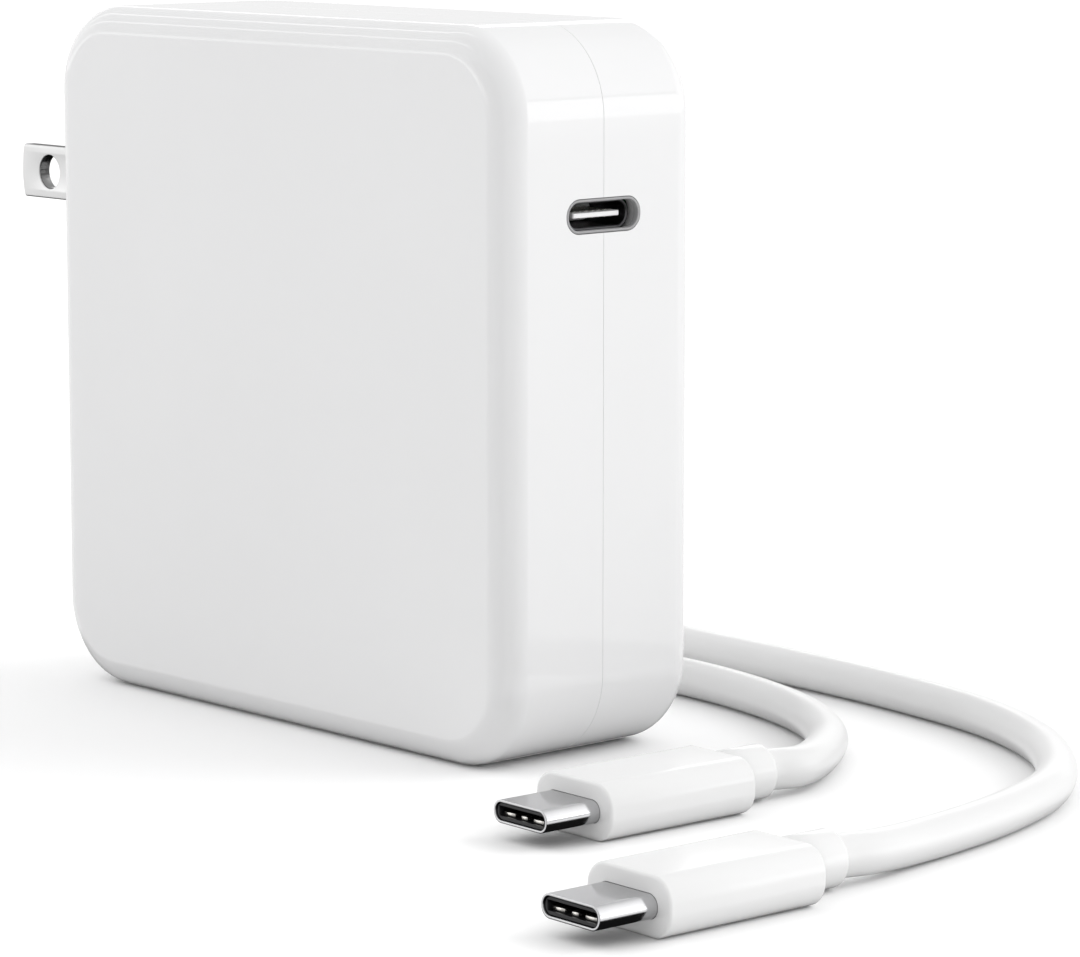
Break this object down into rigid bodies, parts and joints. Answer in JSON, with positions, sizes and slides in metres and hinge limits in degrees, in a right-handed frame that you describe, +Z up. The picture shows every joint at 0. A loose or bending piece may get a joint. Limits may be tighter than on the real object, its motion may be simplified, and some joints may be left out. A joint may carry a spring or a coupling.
{
  "type": "laptop power adapter",
  "caption": "Upright white laptop charger brick with fold-down flat mains blades, a round-ended charging socket on one side and a separate white charging cable with a plug at each end.",
  "frame": {"origin": "middle of the case's base, on the seam between its two halves, on the floor it stands on", "axes": "+X towards the side with the charging socket, -X towards the mains blades, +Y towards the rear half and the cable's loop, +Z up"},
  "size_m": [0.1571, 0.1057, 0.08],
  "materials": {
    "case_white": "gloss white moulded polycarbonate",
    "cable_white": "satin white elastomer",
    "nickel": "polished nickel plate",
    "spring_steel": "spring steel",
    "bronze": "phosphor bronze",
    "gold": "gold plate",
    "black_plastic": "black moulded plastic",
    "lead_white": "white wire insulation",
    "port_grey": "light grey satin",
    "board_green": "green solder mask",
    "aluminium": "plain sheet",
    "sheet": "translucent insulating film",
    "ferrite": "matt ferrite",
    "tape_yellow": "polyester tape",
    "copper": "enamelled copper wire",
    "sleeve": "dark shrink sleeve",
    "disc_blue": "blue epoxy dip",
    "fuse_body": "dark dipped ceramic"
  },
  "bodies": {
    "root": {"front_case_half": "case_white", "rear_case_half": "case_white", "plug_bay": "case_white", "blade_contact_front": "bronze", "blade_contact_rear": "bronze", "plug_detent_spring": "spring_steel", "live_lead": "black_plastic", "neutral_lead": "lead_white", "usb_c_port_trim": "port_grey", "receptacle_shell": "nickel", "receptacle_tongue": "black_plastic", "receptacle_contacts_upper": "gold", "receptacle_contacts_lower": "gold", "port_board": "board_green", "port_controller_chip": "black_plastic", "main_board": "board_green", "front_heat_spreader": "aluminium", "rear_heat_spreader": "aluminium", "front_insulating_sheet": "sheet", "rear_insulating_sheet": "sheet", "transformer_core": "ferrite", "transformer_bobbin": "black_plastic", "transformer_winding": "tape_yellow", "boost_inductor_core": "ferrite", "boost_inductor_winding": "copper", "bulk_capacitor_1": "sleeve", "bulk_capacitor_2": "sleeve", "bulk_capacitor_3": "sleeve", "output_capacitor_1": "aluminium", "output_capacitor_2": "aluminium", "x_capacitor": "tape_yellow", "y_capacitor": "disc_blue", "choke_core": "ferrite", "choke_winding_left": "copper", "choke_winding_right": "copper", "bridge_rectifier": "black_plastic", "fuse": "fuse_body", "thermistor": "fuse_body", "varistor": "disc_blue", "heatsink": "aluminium", "switch_transistor": "black_plastic", "sync_transistor": "black_plastic", "controller_chip": "black_plastic", "optocoupler": "black_plastic"},
    "folding_plug": {"blade_carrier": "case_white", "blade_front": "nickel", "blade_rear": "nickel"},
    "charge_cable": {"cable_jacket": "cable_white", "plug_near_overmould": "cable_white", "plug_near_shell": "nickel", "plug_near_insert": "black_plastic", "plug_near_contacts": "gold", "plug_near_paddle_board": "board_green", "plug_near_collar": "cable_white", "plug_far_overmould": "cable_white", "plug_far_shell": "nickel", "plug_far_insert": "black_plastic", "plug_far_contacts": "gold", "plug_far_paddle_board": "board_green", "plug_far_collar": "cable_white"}
  },
  "joints": [
    {"name": "plug_fold", "type": "hinge", "parent": "root", "child": "folding_plug", "pos_m": [-0.0354, 0, 0.0592], "axis": [0, -1, 0], "range_deg": [0, 90]},
    {"name": "cable_lift", "type": "slide", "parent": "root", "child": "charge_cable", "axis": [0, 0, 1], "range_m": [0, 0.12]}
  ]
}
